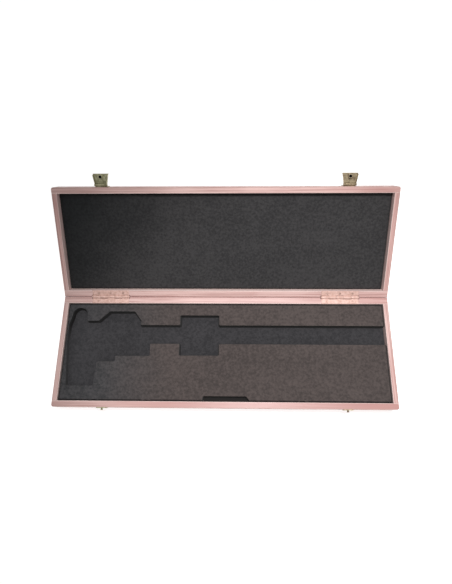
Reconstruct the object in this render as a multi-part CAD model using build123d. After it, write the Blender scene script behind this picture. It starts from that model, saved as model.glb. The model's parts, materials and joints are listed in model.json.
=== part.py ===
from build123d import *
import os
from math import cos, radians, sin

# Long wooden case for a 300 mm caliper. Millimetres. X runs along the case, +Y to the hinges, +Z up.
# The origin is the centre of the base's underside. The lid is built closed, then turned open on its hinges.

# Outside of the case
case_length = 440.0
case_depth = 147.8
front_wall = 8.0
back_wall = 10.8
end_wall = 6.5
base_wall_height = 25.0
lid_wall_height = 16.0
panel_thick = 3.0
corner_radius = 3.0
rim_round = 0.5
panel_round = 1.0
base_fingers = 5
lid_fingers = 3

# Lid hinge line and stop
hinge_inset = 1.8
lid_open_angle = 145.0
rim_gap = 0.2
stop_gap = 0.2
line_chamfer = 0.45

# Foam pads
foam_side_gap = 0.3
base_foam_recess = 1.5
die_cut_thick = 7.5
lid_foam_recess = 7.0

# Pocket for the caliper, across the case from the back wall's inner face and along it from the left wall's
beam_from_back = 42.65
beam_width = 25.1
pocket_corner = 1.6
grip_left = 153.9
grip_width = 52.5
grip_above = 13.6
grip_below = 15.4
jaw_strip = 3.5
head_left = 27.4
head_right = 101.0
head_bottom_right = 115.1
head_flat_left = 57.3
head_flat_right = 91.5
head_slant_start = 43.0
head_shoulder = 5.6
head_rise = 18.8
head_step_rise = 6.3
head_drop = 16.3
head_drop_left = 69.6
clamp_drop = 23.7
clamp_left = 45.8
upper_jaw_centre = 17.1
upper_jaw_radius = 10.1
upper_jaw_rise = 13.4
lower_jaw_right = 43.5
lower_jaw_left = 8.5
lower_jaw_drop = 54.8

# Finger notch and shallow scallops in the front edge of the foam, along it from the left wall's inner face
notch_left = 187.0
notch_right = 242.0
notch_left_slant = 1.5
notch_right_slant = 5.5
notch_depth = 6.7
notch_round = 2.0
scallops_from_left = (46.7, 114.2, 313.2)
scallop_width = 12.4
scallop_depth = 1.5

# Butt hinges
hinge_from_end = 64.0
hinge_length = 50.0
knuckle_count = 5
knuckle_radius = 2.2
knuckle_gap = 0.2
hinge_pin_radius = 1.0
pin_clearance = 0.05
hinge_head_radius = 1.5
hinge_head_thick = 0.6
leaf_thick = 1.0
leaf_inner_margin = 0.3
groove_clearance = 0.3
leaf_root_clearance = 0.4
leaf_fit = 0.1
hinge_screw_pitch = 17.0

# Countersunk screws
screw_head_radius = 1.6
screw_head_height = 0.8
screw_shank_radius = 0.8
screw_length = 7.0
screw_tip = 1.6
screw_clearance = 0.05
screw_slot_width = 0.5
screw_slot_depth = 0.35

# Snap latches
left_latch_from_end = 63.6
right_latch_from_end = 62.6
latch_pin_out = 2.4
latch_pin_up = 3.2
latch_pin_radius = 0.8
latch_knuckle_radius = 1.6
latch_knuckle_half = 6.0
latch_head_radius = 1.3
latch_head_thick = 0.5
latch_head_gap = 0.4
latch_plate_thick = 0.8
latch_plate_half = 7.8
latch_plate_start = 1.8
latch_plate_height = 9.2
latch_screw_half = 5.2
sheet_thick = 0.8
sheet_offset = 1.9
hasp_half_at_pin = 7.5
hasp_half_at_tip = 10.0
hasp_reach = 13.9
hasp_lip = 1.5
lip_rise = 1.2
hasp_heel = 1.2
flange_depth = 2.6
ear_radius = 1.7
socket_reach = 9.8
socket_bore_radius = 1.85
socket_wall = 0.35
socket_rim_radius = 2.6
socket_height = 2.2
socket_bore_depth = 2.8
socket_cap_thick = 0.6
socket_fit = 0.03
keeper_thick = 1.0
keeper_half_width = 5.5
keeper_half_height = 6.1
keeper_screw_half = 4.2
stud_neck_radius = 1.1
stud_head_radius = 1.5
stud_reach = 3.4
stud_head_height = 1.5
stud_head_round = 0.6

# Derived places
inner_length = case_length - 2 * end_wall
inner_front = front_wall - case_depth / 2
inner_back = case_depth / 2 - back_wall
inner_left = -inner_length / 2
hinge_spread = case_length / 2 - hinge_from_end
latch_places = (left_latch_from_end - case_length / 2, case_length / 2 - right_latch_from_end)
rim_z = panel_thick + base_wall_height
axis_y = case_depth / 2 - hinge_inset
axis_z = rim_z + rim_gap / 2
front_y = -case_depth / 2
hinge_axis = Axis((0, axis_y, axis_z), (1, 0, 0))
bevel_angle = lid_open_angle / 2
latch_pin_y = front_y - latch_pin_out
latch_pin_z = rim_z + rim_gap + latch_pin_up
keeper_z = latch_pin_z - socket_reach
sides = (("left", -1), ("right", 1))

# How far cutters run past the faces that they cut, through a whole piece or through sheet metal
overrun = 5.0
sheet_overrun = 1.0

parts = {}


def block(x_limits, y_limits, z_limits):
    """Solid box between two limits on each axis."""
    limits = (x_limits, y_limits, z_limits)
    sizes = [high - low for low, high in limits]
    centre = [(high + low) / 2 for low, high in limits]
    return Pos(*centre) * Box(*sizes)


def rectangle(x_limits, y_limits):
    """Flat rectangle between two limits on each axis."""
    (x_low, x_high), (y_low, y_high) = x_limits, y_limits
    return Pos((x_low + x_high) / 2, (y_low + y_high) / 2) * Rectangle(x_high - x_low, y_high - y_low)


def rod_along_x(radius, x_low, x_high, y, z):
    """Round bar along X between two ends."""
    return Pos((x_low + x_high) / 2, y, z) * Rot(0, 90, 0) * Cylinder(radius, x_high - x_low)


def rod_along_y(radius, y_low, y_high, x, z):
    """Round bar along Y between two ends."""
    return Pos(x, (y_low + y_high) / 2, z) * Rot(90, 0, 0) * Cylinder(radius, y_high - y_low)


def prism_along_x(points, x_low, x_high):
    """Prism along X from a closed outline of (y, z) points."""
    outline = make_face(Polyline(*[(x_low, y, z) for y, z in points], close=True))
    return extrude(outline, x_high - x_low, dir=(1, 0, 0))


def closed_lid(shape):
    """A piece built in the base's place, mirrored to where the closed lid has it."""
    return mirror(shape, about=Plane.XY.offset(axis_z))


def opened(shape):
    """A piece of the closed lid, turned open on the hinge line."""
    return shape.rotate(hinge_axis, -lid_open_angle)


def keep(name, shape):
    """Stores one piece under its name as a plain solid, or a group of solids."""
    solids = shape.solids()
    parts[name] = solids[0] if len(solids) == 1 else Compound(children=list(solids))


def screw(clearance=0.0):
    """Countersunk screw along -Z with its head's face at the origin, or the hole that it needs."""
    head = screw_head_radius + clearance
    shank = screw_shank_radius + clearance
    length = screw_length + clearance
    profile = Polyline(
        (0, 0),
        (head, 0),
        (shank, -screw_head_height),
        (shank, screw_tip - length),
        (0, -length),
        close=True,
    )
    body = revolve(make_face(Plane.XZ * profile), Axis.Z)
    if clearance:
        return body + Pos(0, 0, overrun / 2) * Cylinder(head, overrun)
    slot = Box(2 * screw_head_radius, screw_slot_width, 2 * screw_slot_depth)
    return body - slot


def on_rim(shape, x, y):
    """Places a screw or its hole upright in the rim."""
    return Pos(x, y, rim_z) * shape


def on_front(shape, x, z, face_y):
    """Places a screw or its hole in the front face, pointing into the wall."""
    return Pos(x, face_y, z) * Rot(90, 0, 0) * shape


# Wooden trays

def stop_bevel():
    """The wedge beyond the hinge line that both trays lose, so that their bevels meet when open."""
    along = (cos(radians(bevel_angle)), -sin(radians(bevel_angle)))
    outward = (-along[1], along[0])
    start = (axis_y - outward[0] * stop_gap / 2, axis_z - outward[1] * stop_gap / 2)

    def corner(down, out):
        return [start[i] + along[i] * down + outward[i] * out for i in (0, 1)]

    down, out = base_wall_height, case_depth
    corners = [corner(-overrun, 0), corner(down, 0), corner(down, out), corner(-overrun, out)]
    wedge = prism_along_x(corners, -case_length, case_length)
    line_cut = Pos(0, axis_y, rim_z) * Rot(45, 0, 0) * Box(2 * case_length, line_chamfer, line_chamfer)
    return wedge + line_cut


def hinge_recess(centre_x):
    """What one hinge takes out of a back wall: a groove for the barrel and a mortise for the leaf."""
    half = hinge_length / 2
    groove_half = half + knuckle_gap + hinge_head_thick + groove_clearance
    groove_radius = knuckle_radius + groove_clearance
    groove = rod_along_x(groove_radius, centre_x - groove_half, centre_x + groove_half, axis_y, axis_z)
    mortise = block(
        (centre_x - half - leaf_fit, centre_x + half + leaf_fit),
        (inner_back - overrun, axis_y),
        (rim_z - leaf_thick, rim_z + overrun),
    )
    recess = groove + mortise
    for x in hinge_screw_places(centre_x):
        recess += on_rim(screw(screw_clearance), x, leaf_screw_y)
    return recess


def hinge_screw_places(centre_x):
    """Places of a leaf's screws along the case."""
    return [centre_x + k * hinge_screw_pitch for k in (-1, 0, 1)]


leaf_inner_y = inner_back + leaf_inner_margin
leaf_root_y = axis_y - knuckle_radius - leaf_root_clearance
leaf_screw_y = (leaf_inner_y + leaf_root_y) / 2


def tray(wall_height, fingers, front_holes):
    """Front, back, left and right walls with box joints, and the panel, with the rim at rim_z."""
    outline = RectangleRounded(case_length, case_depth, corner_radius)
    inside = rectangle((-inner_length / 2, inner_length / 2), (inner_front, inner_back))
    ring = Pos(0, 0, rim_z - wall_height) * extrude(outline - inside, wall_height)
    ring = fillet(ring.faces().sort_by(Axis.Z)[-1].edges(), rim_round)
    ring -= stop_bevel()
    for _, side in sides:
        ring -= hinge_recess(side * hinge_spread)
    for hole in front_holes:
        ring -= hole

    front_zone = (-case_depth, inner_front)
    back_zone = (inner_back, case_depth)
    end_fingers = []
    finger_height = wall_height / fingers
    for k in range(1, fingers, 2):
        top = rim_z - k * finger_height
        for _, x_side in sides:
            x_limits = sorted((x_side * inner_length / 2, x_side * case_length))
            for y_limits in (front_zone, back_zone):
                end_fingers.append(block(x_limits, y_limits, (top - finger_height, top)))
    full_x = (-case_length, case_length)
    full_z = (rim_z - wall_height - overrun, rim_z + overrun)
    walls = {}
    for name, zone in (("front_wall", front_zone), ("back_wall", back_zone)):
        wall = ring & block(full_x, zone, full_z)
        for finger in end_fingers:
            wall -= finger
        walls[name] = wall
    for name, side in (("left_wall", -1), ("right_wall", 1)):
        x_limits = sorted((side * inner_length / 2, side * case_length))
        zone = block(x_limits, (inner_front, inner_back), full_z)
        for finger in end_fingers:
            if finger.center().X * side > 0:
                zone += finger
        walls[name] = ring & zone
    panel = extrude(outline, panel_thick)
    panel = fillet(panel.faces().sort_by(Axis.Z)[0].edges(), panel_round)
    walls["panel"] = Pos(0, 0, rim_z - wall_height - panel_thick) * panel
    return walls


# Foam pads

def pad(top_z, thick):
    """Plain foam sheet that fills a tray, with its top face at top_z."""
    half_length = inner_length / 2 - foam_side_gap
    y_limits = (inner_front + foam_side_gap, inner_back - foam_side_gap)
    return block((-half_length, half_length), y_limits, (top_z - thick, top_z))


def pocket_outline():
    """Outline of the caliper: beam to the right wall, grip recess, slider head, upper and lower jaws."""
    left = inner_left
    beam_y = inner_back - beam_from_back
    beam_top = beam_y + beam_width / 2
    beam_bottom = beam_y - beam_width / 2

    beam_x = (left + head_right - overrun, inner_length / 2 + overrun)
    shape = rectangle(beam_x, (beam_bottom, beam_top))
    grip_x = (left + grip_left, left + grip_left + grip_width)
    shape += rectangle(grip_x, (beam_bottom - grip_below, beam_top + grip_above))
    body = Polyline(
        (left + jaw_strip, beam_bottom),
        (left + lower_jaw_left, beam_bottom - lower_jaw_drop),
        (left + lower_jaw_right, beam_bottom - lower_jaw_drop),
        (left + clamp_left, beam_bottom - clamp_drop),
        (left + head_drop_left, beam_bottom - clamp_drop),
        (left + head_drop_left, beam_bottom - head_drop),
        (left + head_bottom_right, beam_bottom - head_drop),
        (left + head_bottom_right, beam_bottom),
        (left + head_right, beam_top),
        (left + head_right, beam_top + head_step_rise),
        (left + head_flat_right, beam_top + head_rise),
        (left + head_flat_left, beam_top + head_rise),
        (left + head_slant_start, beam_top + head_shoulder),
        (left + head_left, beam_top + head_shoulder),
        (left + upper_jaw_centre + upper_jaw_radius, beam_top + upper_jaw_rise),
        (left + upper_jaw_centre - upper_jaw_radius, beam_top + upper_jaw_rise),
        (left + jaw_strip, beam_top),
        close=True,
    )
    shape += make_face(body)
    shape = fillet(shape.vertices(), pocket_corner)
    return shape + Pos(left + upper_jaw_centre, beam_top + upper_jaw_rise) * Circle(upper_jaw_radius)


def front_edge_cuts():
    """Finger notch and scallops in the front edge of the die-cut foam."""
    edge = inner_front
    back = edge + notch_depth
    left = inner_left + notch_left
    right = inner_left + notch_right
    notch = make_face(
        Polyline(
            (left - notch_left_slant, edge - overrun),
            (right + notch_right_slant, edge - overrun),
            (right + notch_right_slant, edge),
            (right, back),
            (left, back),
            (left - notch_left_slant, edge),
            close=True,
        )
    )
    cuts = fillet(notch.vertices().group_by(Axis.Y)[-1], notch_round)
    scallop_radius = (scallop_width**2 / 4 + scallop_depth**2) / (2 * scallop_depth)
    scallop_y = edge + foam_side_gap + scallop_depth - scallop_radius
    for distance in scallops_from_left:
        cuts += Pos(inner_left + distance, scallop_y) * Circle(scallop_radius)
    return cuts


def die_cut_pad():
    """Upper foam layer of the base with the caliper's pocket cut right through it."""
    top_z = rim_z - base_foam_recess
    cutter = extrude(pocket_outline() + front_edge_cuts(), die_cut_thick + 2 * overrun)
    return pad(top_z, die_cut_thick) - Pos(0, 0, top_z - die_cut_thick - overrun) * cutter


# Hinges

def hinge_leaf(centre_x, own_knuckles):
    """Leaf let into the rim, with its share of the barrel's knuckles."""
    half = hinge_length / 2
    z_limits = (rim_z - leaf_thick, rim_z)
    leaf = block((centre_x - half, centre_x + half), (leaf_inner_y, leaf_root_y), z_limits)
    pitch = hinge_length / knuckle_count
    for k in own_knuckles:
        low = centre_x - half + k * pitch + knuckle_gap / 2
        high = low + pitch - knuckle_gap
        leaf += block((low, high), (leaf_root_y - leaf_thick, axis_y), z_limits)
        leaf += rod_along_x(knuckle_radius, low, high, axis_y, axis_z)
    leaf -= rod_along_x(hinge_pin_radius + pin_clearance, centre_x - half, centre_x + half, axis_y, axis_z)
    for x in hinge_screw_places(centre_x):
        leaf -= on_rim(screw(screw_clearance), x, leaf_screw_y)
    return leaf


def hinge_pin(centre_x):
    """Headed pin through all knuckles."""
    half = hinge_length / 2 + pin_clearance
    pin = rod_along_x(hinge_pin_radius, centre_x - half, centre_x + half, axis_y, axis_z)
    for _, side in sides:
        ends = sorted(centre_x + side * (half + d) for d in (0, hinge_head_thick))
        pin += rod_along_x(hinge_head_radius, ends[0], ends[1], axis_y, axis_z)
    return pin


def leaf_screws(centre_x):
    """Screws of one leaf."""
    return Compound(children=[on_rim(screw(), x, leaf_screw_y) for x in hinge_screw_places(centre_x)])


# Latches, with the lid and the hasp closed

def latch_plate(centre_x):
    """Plate on the lid's front with a rolled knuckle along its lower edge."""
    face = front_y - latch_plate_thick
    low = latch_pin_z + latch_plate_start
    plate_x = (centre_x - latch_plate_half, centre_x + latch_plate_half)
    plate = block(plate_x, (face, front_y), (low, low + latch_plate_height))
    tongue = (centre_x - latch_knuckle_half, centre_x + latch_knuckle_half)
    plate += block(tongue, (face, front_y), (latch_pin_z - latch_knuckle_radius / 2, low))
    plate += block(tongue, (latch_pin_y, face), (latch_pin_z, latch_pin_z + latch_knuckle_radius))
    plate += rod_along_x(latch_knuckle_radius, tongue[0], tongue[1], latch_pin_y, latch_pin_z)
    bore = latch_pin_radius + pin_clearance
    ends = (tongue[0] - sheet_overrun, tongue[1] + sheet_overrun)
    plate -= rod_along_x(bore, ends[0], ends[1], latch_pin_y, latch_pin_z)
    for x in latch_screw_places(centre_x):
        plate -= on_front(screw(screw_clearance), x, latch_screw_z, face)
    return plate


def latch_screw_places(centre_x):
    """Places of a latch plate's screws along the case."""
    return (centre_x - latch_screw_half, centre_x + latch_screw_half)


latch_screw_z = latch_pin_z + latch_plate_start + latch_plate_height / 2


def latch_pin(centre_x):
    """Headed pin of one hasp."""
    half = hasp_half_at_pin + latch_head_gap
    pin = rod_along_x(latch_pin_radius, centre_x - half, centre_x + half, latch_pin_y, latch_pin_z)
    for _, side in sides:
        ends = sorted(centre_x + side * (half + d) for d in (0, latch_head_thick))
        pin += rod_along_x(latch_head_radius, ends[0], ends[1], latch_pin_y, latch_pin_z)
    return pin


def hasp_taper(inset, y_low, y_high, top, bottom):
    """Tapered block that widens from the pin to the tip, narrowed on each side by inset."""
    spread = (hasp_half_at_tip - hasp_half_at_pin) / hasp_reach

    def half_width(z):
        return hasp_half_at_pin - spread * z - inset

    corners = [
        (-half_width(top), y_low, top),
        (half_width(top), y_low, top),
        (half_width(bottom), y_low, bottom),
        (-half_width(bottom), y_low, bottom),
    ]
    return extrude(make_face(Polyline(*corners, close=True)), y_high - y_low, dir=(0, 1, 0))


def hasp(centre_x):
    """Channel-shaped hasp with pierced ears, a bent lip and a hole for its socket."""
    inside = -sheet_offset
    outside = -sheet_offset - sheet_thick
    bend = hasp_lip - hasp_reach
    past = sheet_overrun
    shape = hasp_taper(0, outside, inside + flange_depth, hasp_heel, bend)
    shape -= hasp_taper(sheet_thick, inside, inside + flange_depth + past, hasp_heel + past, bend - past)
    ear_end = ear_radius + past
    ear_ring = hasp_taper(0, outside, ear_radius, ear_radius, -ear_radius)
    ear_ring -= hasp_taper(sheet_thick, outside - past, ear_end, ear_end, -ear_end)
    width = 2 * hasp_half_at_tip
    shape += ear_ring & rod_along_x(ear_radius, -width, width, 0, 0)
    lip_outline = [
        (inside, bend),
        (outside, bend),
        (outside - lip_rise, -hasp_reach),
        (inside - lip_rise, -hasp_reach),
    ]
    lip = prism_along_x(lip_outline, -width, width)
    shape += lip & hasp_taper(0, outside - lip_rise - past, inside + past, bend + past, -hasp_reach - past)
    shape -= rod_along_x(latch_pin_radius + pin_clearance, -width, width, 0, 0)
    spigot = socket_bore_radius + socket_wall + socket_fit
    shape -= rod_along_y(spigot, outside - past, inside + past, 0, -socket_reach)
    return Pos(centre_x, latch_pin_y, latch_pin_z) * shape


def socket(centre_x):
    """Riveted cup on the hasp that snaps over the keeper's stud."""
    inside = -sheet_offset
    outside = -sheet_offset - sheet_thick
    spigot = socket_bore_radius + socket_wall
    mouth = inside + socket_height
    cup = rod_along_y(socket_rim_radius, inside, mouth, 0, -socket_reach)
    cup += rod_along_y(spigot, outside, inside, 0, -socket_reach)
    cap = rod_along_y(socket_rim_radius, outside - socket_cap_thick, outside, 0, -socket_reach)
    cup += fillet(cap.edges().sort_by(Axis.Y)[0], socket_cap_thick / 2)
    bore = (mouth - socket_bore_depth, mouth + sheet_overrun)
    cup -= rod_along_y(socket_bore_radius, bore[0], bore[1], 0, -socket_reach)
    return Pos(centre_x, latch_pin_y, latch_pin_z) * cup


def keeper(centre_x):
    """Keeper plate on the base's front."""
    face = front_y - keeper_thick
    plate = block(
        (centre_x - keeper_half_width, centre_x + keeper_half_width),
        (face, front_y),
        (keeper_z - keeper_half_height, keeper_z + keeper_half_height),
    )
    hole = (face - sheet_overrun, front_y + sheet_overrun)
    plate -= rod_along_y(stud_neck_radius + socket_fit, hole[0], hole[1], centre_x, keeper_z)
    for z in keeper_screw_places():
        plate -= on_front(screw(screw_clearance), centre_x, z, face)
    return plate


def keeper_screw_places():
    """Heights of a keeper's screws."""
    return (keeper_z - keeper_screw_half, keeper_z + keeper_screw_half)


def stud(centre_x):
    """Round-headed stud through the keeper plate."""
    tip = front_y - stud_reach
    head = rod_along_y(stud_head_radius, tip, tip + stud_head_height, centre_x, keeper_z)
    head = fillet(head.edges().group_by(Axis.Y)[0] + head.edges().group_by(Axis.Y)[-1], stud_head_round)
    return head + rod_along_y(stud_neck_radius, tip + stud_head_height / 2, front_y, centre_x, keeper_z)


# Base

keeper_holes = []
lid_latch_holes = []
for x in latch_places:
    for z in keeper_screw_places():
        keeper_holes.append(on_front(screw(screw_clearance), x, z, front_y - keeper_thick))
    for place in latch_screw_places(x):
        hole = on_front(screw(screw_clearance), place, latch_screw_z, front_y - latch_plate_thick)
        lid_latch_holes.append(closed_lid(hole))

base = tray(base_wall_height, base_fingers, keeper_holes)
keep("base_front_wall", base["front_wall"])
keep("base_back_wall", base["back_wall"])
keep("base_left_wall", base["left_wall"])
keep("base_right_wall", base["right_wall"])
keep("base_bottom_panel", base["panel"])
keep("base_foam_top", die_cut_pad())
floor_top = rim_z - base_foam_recess - die_cut_thick
keep("base_foam_floor", pad(floor_top, floor_top - panel_thick))

# Lid

lid = tray(lid_wall_height, lid_fingers, lid_latch_holes)
for name in ("front_wall", "back_wall", "left_wall", "right_wall"):
    keep("lid_" + name, opened(closed_lid(lid[name])))
keep("lid_top_panel", opened(closed_lid(lid["panel"])))
lid_foam = pad(rim_z - lid_foam_recess, lid_wall_height - lid_foam_recess)
keep("lid_foam", opened(closed_lid(lid_foam)))

# Hinges and latches

for (label, side), latch_x in zip(sides, latch_places):
    hinge_x = side * hinge_spread
    keep(label + "_hinge_base_leaf", hinge_leaf(hinge_x, range(0, knuckle_count, 2)))
    keep(label + "_hinge_lid_leaf", opened(closed_lid(hinge_leaf(hinge_x, range(1, knuckle_count, 2)))))
    keep(label + "_hinge_pin", hinge_pin(hinge_x))
    keep(label + "_hinge_base_screws", leaf_screws(hinge_x))
    keep(label + "_hinge_lid_screws", opened(closed_lid(leaf_screws(hinge_x))))

    swing = Axis((0, latch_pin_y, latch_pin_z), (1, 0, 0))
    keep(label + "_latch_plate", opened(latch_plate(latch_x)))
    keep(label + "_latch_pin", opened(latch_pin(latch_x)))
    keep(label + "_latch_hasp", opened(hasp(latch_x).rotate(swing, -90)))
    keep(label + "_latch_socket", opened(socket(latch_x).rotate(swing, -90)))
    face = front_y - latch_plate_thick
    plate_screws = [on_front(screw(), place, latch_screw_z, face) for place in latch_screw_places(latch_x)]
    keep(label + "_latch_plate_screws", opened(Compound(children=plate_screws)))
    keep(label + "_latch_keeper", keeper(latch_x))
    keep(label + "_latch_stud", stud(latch_x))
    face = front_y - keeper_thick
    keeper_screws = [on_front(screw(), latch_x, z, face) for z in keeper_screw_places()]
    keep(label + "_latch_keeper_screws", Compound(children=keeper_screws))

os.makedirs("parts", exist_ok=True)
for name, shape in parts.items():
    export_step(shape, "parts/" + name + ".step")
    print(name, len(shape.solids()), round(shape.volume, 1))
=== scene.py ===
import json
from math import ceil, cos, pi, radians, sin, sqrt

import bmesh
import bpy
from mathutils import Matrix, Vector, geometry, kdtree, noise


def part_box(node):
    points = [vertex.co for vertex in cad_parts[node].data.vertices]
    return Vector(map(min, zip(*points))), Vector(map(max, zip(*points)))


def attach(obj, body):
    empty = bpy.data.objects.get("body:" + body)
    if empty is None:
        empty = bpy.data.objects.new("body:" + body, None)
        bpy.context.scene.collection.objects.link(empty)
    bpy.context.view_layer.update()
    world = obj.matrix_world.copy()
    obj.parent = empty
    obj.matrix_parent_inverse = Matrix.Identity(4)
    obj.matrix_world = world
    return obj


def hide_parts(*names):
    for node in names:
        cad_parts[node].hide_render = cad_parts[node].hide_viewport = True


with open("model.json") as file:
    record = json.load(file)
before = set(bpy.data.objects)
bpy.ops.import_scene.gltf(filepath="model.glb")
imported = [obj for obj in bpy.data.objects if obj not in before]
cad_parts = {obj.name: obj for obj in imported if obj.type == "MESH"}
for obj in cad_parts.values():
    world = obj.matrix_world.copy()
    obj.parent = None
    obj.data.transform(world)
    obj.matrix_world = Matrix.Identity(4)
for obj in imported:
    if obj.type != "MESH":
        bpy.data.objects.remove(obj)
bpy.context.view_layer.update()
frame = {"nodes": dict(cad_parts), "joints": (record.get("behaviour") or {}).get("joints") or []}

# A long wooden caliper case, open, with a die-cut foam pad. Lengths are metres, in the frame of the
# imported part. Finishes work in millimetres, the scale of their patterns.
mm = 0.001

# Camera, as the photograph was taken: above the case's front edge, tilted a little towards the lid
image_height = 584
focal_pixels = 406.27
sensor_mm = 36.0
view_tilt = radians(73.019)
view_roll = radians(0.166)
view_pan = radians(-1.326)
view_distance = 554.30 * mm
view_right = 14.578 * mm
view_up = 6.989 * mm
view_nearest = 10 * mm

# Hinge line, and the turn that raises the lid to its place from lying flat, open, with its inside up
lid_joint = next(joint for joint in frame["joints"] if joint["name"] == "lid_hinge")
hinge_line = Vector(lid_joint["pos_m"])
lid_tilt = pi - radians(lid_joint["range_deg"][1])
lay_flat = Matrix.Rotation(-lid_tilt, 4, "X") @ Matrix.Translation(-hinge_line)
lay_flat = Matrix.Translation(hinge_line) @ lay_flat
tray_turn = {"base": Matrix.Identity(4), "lid": lay_flat.inverted()}
opening_turn = Matrix.Rotation(-(pi - lid_tilt), 4, "X")

# Edge rounding
wood_edge = 0.25 * mm
metal_edge = 0.12 * mm
sharp_angle = radians(32)
flat_angle = radians(0.6)
smooth_angle = radians(40)
merge_distance = 0.002 * mm

# Foam
pocket_round = 0.55 * mm
edge_round = 2.3 * mm
shoulder_steps = 4
# where a pocket shoulder's painted shade begins, and how fast it comes in on shoulders along the case's
# walls
cut_start = 0.45
edge_cut_power = 0.2
wall_steps = 6
wall_waist = 0.22 * mm
# a pocket wall's flared foot carries its painted shade onto the floor as a painted shadow
foot_flare = 1.5 * mm
faint_corner = Vector((-165, 12)) * mm
faint_fade = 22 * mm
outline_step = 2.4 * mm
surface_step = 3.0 * mm
foot_step = 20 * surface_step
rim_clearance = 0.7
wall_reach = 0.1 * mm
swell_height = 0.16 * mm
swell_size = 38.0 * mm
dimple_height = 0.07 * mm
dimple_size = 9.0 * mm
rib_pitch = 1.7 * mm
rib_height = 0.07 * mm
rows_per_rib = 6
floor_columns = 24

# Latches
cup_bore = 1.9 * mm

# Screws
screw_sides = 32
screw_chamfer = 0.12 * mm
slot_width = 0.5 * mm
slot_depth = 0.35 * mm
slot_reach = 2.4
screw_point = 0.08
least_shank = 0.3
screw_seed = 11

# Hinge barrels, rolled from the leaf's own sheet
knuckle_count = 5
knuckle_gap = 0.2 * mm
leaf_thick = 1.0 * mm
leaf_root_clearance = 0.4 * mm
curl_end = radians(165)
curl_points = 26
curl_edge_angle = radians(50)

# Where each seed moves its patterns to
noise_shift = (7.31, 3.17)
cell_shift = 5.13


# Node trees

class Signal:
    """One output of a node tree. Arithmetic on it adds Math nodes."""

    def __init__(self, graph, socket):
        self.graph = graph
        self.socket = socket

    def __add__(self, other):
        return self.graph.math("ADD", self, other)

    __radd__ = __add__

    def __sub__(self, other):
        return self.graph.math("SUBTRACT", self, other)

    def __rsub__(self, other):
        return self.graph.math("SUBTRACT", other, self)

    def __mul__(self, other):
        return self.graph.math("MULTIPLY", self, other)

    __rmul__ = __mul__

    def __truediv__(self, other):
        return self.graph.math("DIVIDE", self, other)

    def __abs__(self):
        return self.graph.math("ABSOLUTE", self)

    def other(self, name):
        """Another output of the same node."""
        return Signal(self.graph, self.socket.node.outputs[name])

    def rise(self, low, high):
        """Climbs smoothly from 0 at low to 1 at high."""
        settings = {"interpolation_type": "SMOOTHSTEP"}
        sockets = {"Value": self, "From Min": low, "From Max": high}
        return self.graph.node("ShaderNodeMapRange", settings, sockets)


class Graph:
    """A node tree under construction."""

    def __init__(self, tree):
        self.tree = tree

    def node(self, kind, settings=None, sockets=None, out=0):
        """Adds a node with settings, and values or signals in its sockets. Returns one of its outputs.

        An index switch takes the setting "items", which says how many items it has.
        """
        made = self.tree.nodes.new(kind)
        for key, value in (settings or {}).items():
            if key == "items":
                while len(made.index_switch_items) < value:
                    made.index_switch_items.new()
            else:
                setattr(made, key, value)
        for key, value in (sockets or {}).items():
            if isinstance(value, Signal):
                self.tree.links.new(value.socket, made.inputs[key])
            else:
                made.inputs[key].default_value = value
        return Signal(self, made.outputs[out]) if made.outputs else made

    def math(self, operation, *values):
        return self.node("ShaderNodeMath", {"operation": operation}, dict(enumerate(values)))

    def vector(self, x, y, z):
        return self.node("ShaderNodeCombineXYZ", {}, {"X": x, "Y": y, "Z": z})

    def axes(self, vector):
        x = self.node("ShaderNodeSeparateXYZ", {}, {"Vector": vector})
        return x, x.other("Y"), x.other("Z")


class Finish(Graph):
    """A material under construction. Places are in millimetres on the piece."""

    def __init__(self, name):
        self.material = bpy.data.materials.new(name)
        self.material.use_nodes = True
        super().__init__(self.material.node_tree)
        self.tree.nodes.clear()

    def place(self, tray="base"):
        """Point on the piece, along, across and up its tray as that lies flat."""
        point = self.node("ShaderNodeTexCoord", out="Object")
        if tray == "lid":
            shift = lay_flat.to_translation()
            turn = {"Vector": point, "Rotation": lay_flat.to_euler(), "Location": shift}
            point = self.node("ShaderNodeMapping", {"vector_type": "POINT"}, turn)
        scaled = {"Vector": point, "Scale": 1 / mm}
        point = self.node("ShaderNodeVectorMath", {"operation": "SCALE"}, scaled)
        return self.axes(point)

    def facing(self, tray="base"):
        """Direction that the surface faces, in the same axes."""
        normal = self.node("ShaderNodeTexCoord", out="Normal")
        if tray == "lid":
            turn = {"Vector": normal, "Rotation": lay_flat.to_euler()}
            normal = self.node("ShaderNodeMapping", {"vector_type": "NORMAL"}, turn)
        return self.axes(normal)

    def noise(self, point, sizes, detail=2.0, seed=0.0, rough=0.5):
        """Soft noise from 0 to 1 whose lumps have the given sizes."""
        x, y, z = (value / size for value, size in zip(point, sizes))
        place = self.vector(x + seed * noise_shift[0], y + seed * noise_shift[1], z)
        sockets = {"Vector": place, "Scale": 1.0, "Detail": detail, "Roughness": rough}
        return self.node("ShaderNodeTexNoise", {}, sockets)

    def cells(self, point, size, seed=0.0):
        """Distance to the nearest of scattered points, 0 at the middle of each cell."""
        x, y, z = (value / size for value in point)
        place = self.vector(x + seed * cell_shift, y, z)
        return self.node("ShaderNodeTexVoronoi", {}, {"Vector": place, "Scale": 1.0}, out="Distance")

    def mix(self, share, first, second):
        """Colour between two colours."""
        sockets = {0: share, 6: self.colour(first), 7: self.colour(second)}
        return self.node("ShaderNodeMix", {"data_type": "RGBA"}, sockets, out=2)

    def colour(self, value):
        return value if isinstance(value, Signal) else (*value, 1.0)

    def relief(self, height, depth_mm):
        """Normal of a surface whose height goes from 0 to 1 over the given depth."""
        sockets = {"Height": height, "Strength": 1.0, "Distance": depth_mm * mm}
        return self.node("ShaderNodeBump", {}, sockets)

    def surface(self, sockets):
        """Ends the material in one shader with these sockets."""
        shader = self.node("ShaderNodeBsdfPrincipled", {}, sockets)
        self.node("ShaderNodeOutputMaterial", {}, {"Surface": shader})
        return self.material


# Finishes

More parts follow.
